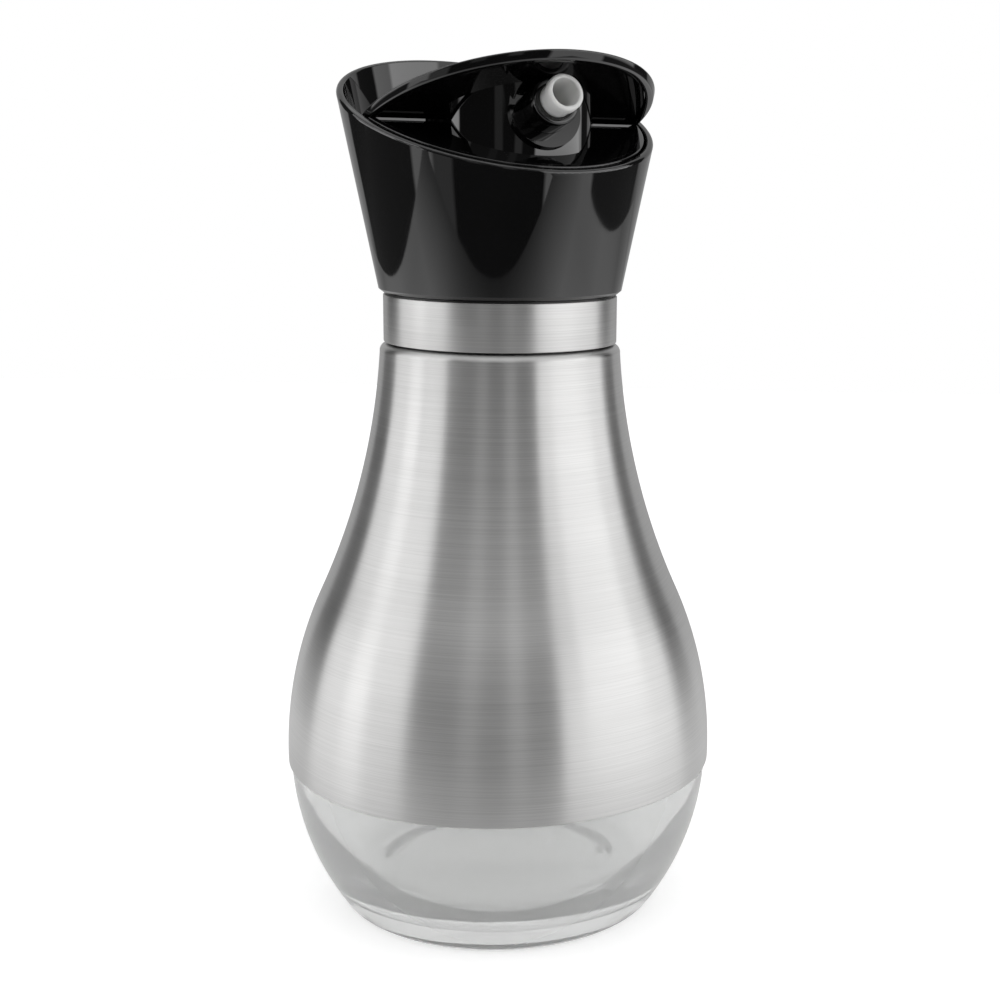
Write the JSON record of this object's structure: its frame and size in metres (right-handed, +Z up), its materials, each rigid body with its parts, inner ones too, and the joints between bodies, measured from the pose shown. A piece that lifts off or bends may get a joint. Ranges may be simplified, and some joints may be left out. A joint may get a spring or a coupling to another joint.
{
  "type": "syrup dispenser",
  "caption": "Pear-shaped glass syrup bottle in a brushed steel sleeve, with a push-in pouring head whose slanted black cup turns half a turn to bare or cover a white spout.",
  "frame": {"origin": "centre of the bottle's foot on the table", "axes": "+Z up through the neck; -Y is the side the spout points to; +X completes the right-handed frame"},
  "size_m": [0.0992, 0.0992, 0.1954],
  "materials": {
    "clear_glass": "clear, smooth, thick base",
    "brushed_steel": "fine brushing round the body",
    "satin_steel": "satin, finer than the sleeve",
    "gloss_black": "high gloss black moulding",
    "black_plastic": "satin black moulding",
    "white_plastic": "slightly translucent white",
    "silicone": "translucent silicone",
    "screw_steel": "plated steel"
  },
  "bodies": {
    "bottle": {"glass_bottle": "clear_glass", "steel_sleeve": "brushed_steel"},
    "head": {"stopper": "black_plastic", "stopper_gasket": "silicone", "neck_band": "satin_steel", "lower_seal": "silicone", "upper_seal": "silicone", "vent_valve": "silicone", "valve_plate": "black_plastic", "pour_insert": "gloss_black", "hood": "gloss_black", "spout_collar": "black_plastic", "spout_tube": "white_plastic", "feed_hose": "silicone", "flat_washer": "screw_steel", "spring_washer": "screw_steel", "centre_screw": "screw_steel", "insert_screws": "screw_steel", "hood_screws": "screw_steel"},
    "cup": {"pour_cup": "gloss_black"}
  },
  "joints": [
    {"name": "head_pull", "type": "slide", "parent": "bottle", "child": "head", "axis": [0, 0, 1], "range_m": [0, 0.06]},
    {"name": "cup_twist", "type": "hinge", "parent": "head", "child": "cup", "pos_m": [0, 0, 0.1442], "axis": [0, 0, 1], "range_deg": [0, 180]}
  ]
}
